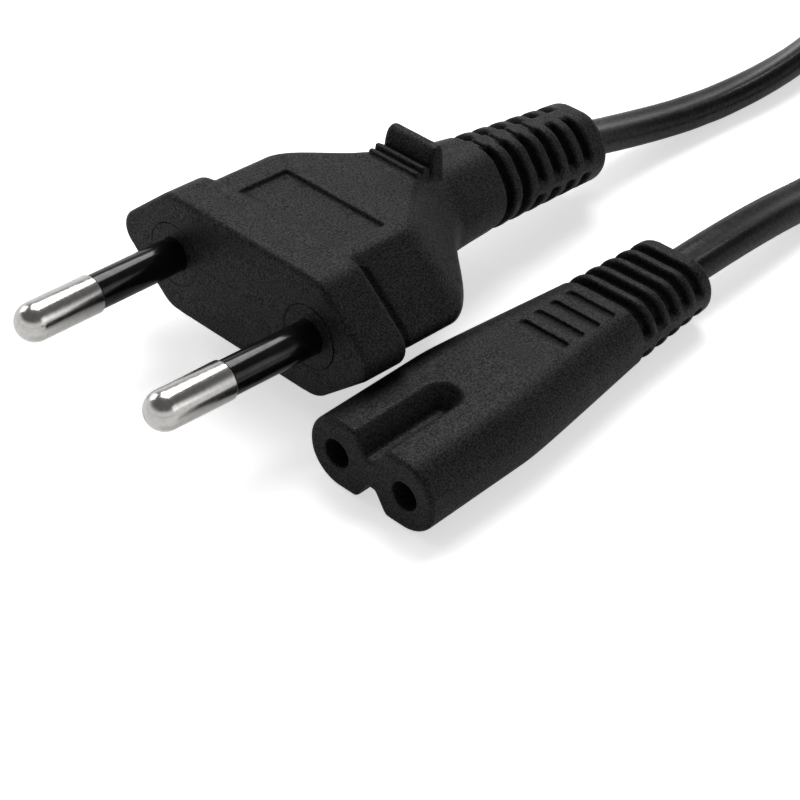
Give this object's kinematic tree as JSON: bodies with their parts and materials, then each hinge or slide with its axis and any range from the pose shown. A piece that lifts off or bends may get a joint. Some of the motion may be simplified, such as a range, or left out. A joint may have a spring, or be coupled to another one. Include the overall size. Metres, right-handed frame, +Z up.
{
  "type": "figure eight power connector",
  "caption": "Black mains lead with a figure eight connector, a flat twin cord gathered in a tied coil, and a flat plug with round part-sleeved pins.",
  "frame": {"origin": "bottom centre of the part's bounding box, on the surface that the lead lies on", "axes": "+Z up from the surface, +Y the way the cords leave the connector and the plug, +X to the right seen from behind them"},
  "size_m": [0.0688, 0.1917, 0.0176],
  "materials": {
    "moulded_pvc": "finely sparked, matt",
    "cord_pvc": "smooth, semi gloss",
    "sleeve_plastic": "glossy",
    "bridge_plastic": "smooth, matt",
    "pin_nickel": "nickel plated, polished",
    "insert_plastic": "smooth, natural",
    "contact_brass": "drawn",
    "insulation_brown": "smooth",
    "insulation_blue": "smooth",
    "copper": "bare strands",
    "tie_plastic": "ribbed, matt"
  },
  "bodies": {
    "root": {"connector_body": "moulded_pvc", "contact_carrier_upper": "insert_plastic", "contact_carrier_lower": "insert_plastic", "contact_left": "contact_brass", "contact_right": "contact_brass", "connector_core_left": "insulation_brown", "connector_core_right": "insulation_blue", "connector_strands_left": "copper", "connector_strands_right": "copper", "connector_jacket_end": "cord_pvc", "plug_body": "moulded_pvc", "pin_bridge": "bridge_plastic", "pin_left": "pin_nickel", "pin_right": "pin_nickel", "pin_sleeve_left": "sleeve_plastic", "pin_sleeve_right": "sleeve_plastic", "plug_core_left": "insulation_brown", "plug_core_right": "insulation_blue", "plug_strands_left": "copper", "plug_strands_right": "copper", "plug_jacket_end": "cord_pvc", "cord_connector_side": "cord_pvc", "cord_plug_side": "cord_pvc", "cord_coil": "cord_pvc", "cord_tie": "tie_plastic"}
  },
  "joints": []
}
